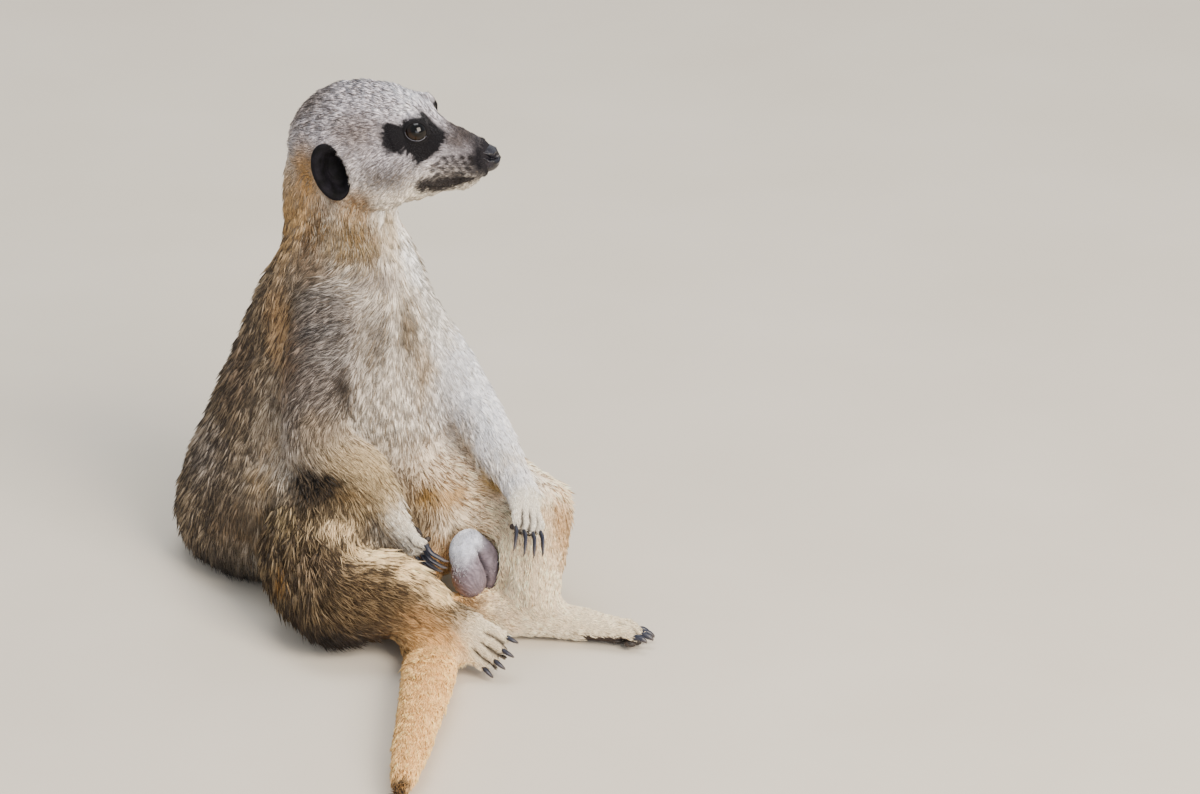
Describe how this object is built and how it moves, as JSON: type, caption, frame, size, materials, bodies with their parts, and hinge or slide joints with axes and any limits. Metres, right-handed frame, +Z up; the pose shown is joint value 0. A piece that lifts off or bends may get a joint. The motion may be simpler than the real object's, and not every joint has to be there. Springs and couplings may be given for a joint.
{
  "type": "meerkat",
  "caption": "Life-size still figure of a seated meerkat, slumped on its rump with head turned, hands resting on its legs and tail laid forward along the floor.",
  "frame": {"origin": "centre of the model's outline on the floor", "axes": "+X the way the muzzle points, +Y the animal's left side away from the near flank, +Z up; the tail runs to -Y"},
  "size_m": [0.1964, 0.3007, 0.2099],
  "materials": {
    "grizzled_coat": "matte fur",
    "tawny_coat": "matte fur",
    "pale_face_coat": "matte short fur",
    "dark_skin": "matte",
    "bare_grey_skin": "matte",
    "claw_horn": "satin",
    "eye_surface": "glossy"
  },
  "bodies": {
    "root": {"neck": "grizzled_coat", "trunk": "grizzled_coat", "rump": "grizzled_coat", "thigh_left": "grizzled_coat", "thigh_right": "grizzled_coat", "shank_left": "grizzled_coat", "shank_right": "grizzled_coat", "upper_arm_left": "grizzled_coat", "upper_arm_right": "grizzled_coat", "forearm_left": "grizzled_coat", "forearm_right": "grizzled_coat", "hand_left": "grizzled_coat", "hand_right": "grizzled_coat", "foot_left": "grizzled_coat", "foot_right": "grizzled_coat", "tail_root": "tawny_coat", "tail_middle": "tawny_coat", "tail_tip": "tawny_coat", "head": "pale_face_coat", "ear_left": "dark_skin", "ear_right": "dark_skin", "nose": "dark_skin", "eye_left": "eye_surface", "eye_right": "eye_surface", "scrotum": "bare_grey_skin", "claw_hand_left_1": "claw_horn", "claw_hand_left_2": "claw_horn", "claw_hand_left_3": "claw_horn", "claw_hand_left_4": "claw_horn", "claw_hand_right_1": "claw_horn", "claw_hand_right_2": "claw_horn", "claw_hand_right_3": "claw_horn", "claw_hand_right_4": "claw_horn", "claw_foot_left_1": "claw_horn", "claw_foot_left_2": "claw_horn", "claw_foot_left_3": "claw_horn", "claw_foot_left_4": "claw_horn", "claw_foot_right_1": "claw_horn", "claw_foot_right_2": "claw_horn", "claw_foot_right_3": "claw_horn", "claw_foot_right_4": "claw_horn"}
  },
  "joints": []
}
